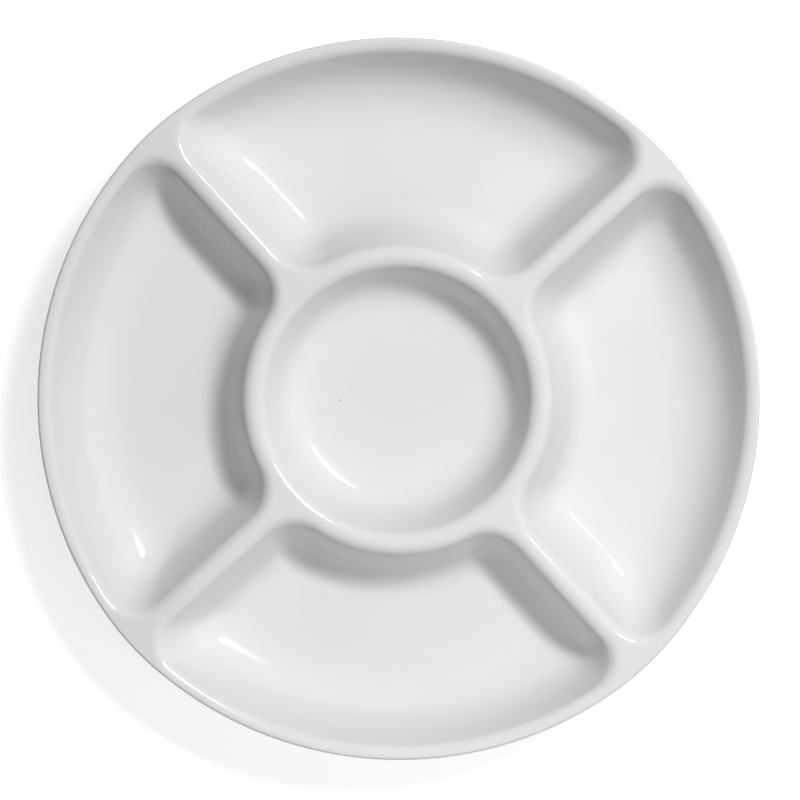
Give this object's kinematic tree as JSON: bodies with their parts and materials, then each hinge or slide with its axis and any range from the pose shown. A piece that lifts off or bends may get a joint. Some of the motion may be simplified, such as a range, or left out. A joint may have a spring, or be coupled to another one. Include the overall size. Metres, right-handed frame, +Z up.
{
  "type": "divided serving bowl",
  "caption": "Round white glazed ceramic dish with a dip bowl in the middle and radial dividers that part the compartments around it, for serving snacks with a sauce.",
  "frame": {"origin": "on the table, at the dish's axis", "axes": "+Z up out of the dip bowl, +X and +Y through the middles of two neighbouring compartments, with the dividers on the diagonals; the picture looks down -Z with +X to the right"},
  "size_m": [0.2988, 0.2988, 0.036],
  "materials": {
    "bare_clay": "matte",
    "white_glaze": "gloss"
  },
  "bodies": {
    "root": {"clay_body": "bare_clay", "glaze_coat": "white_glaze", "base_glaze": "white_glaze"}
  },
  "joints": []
}
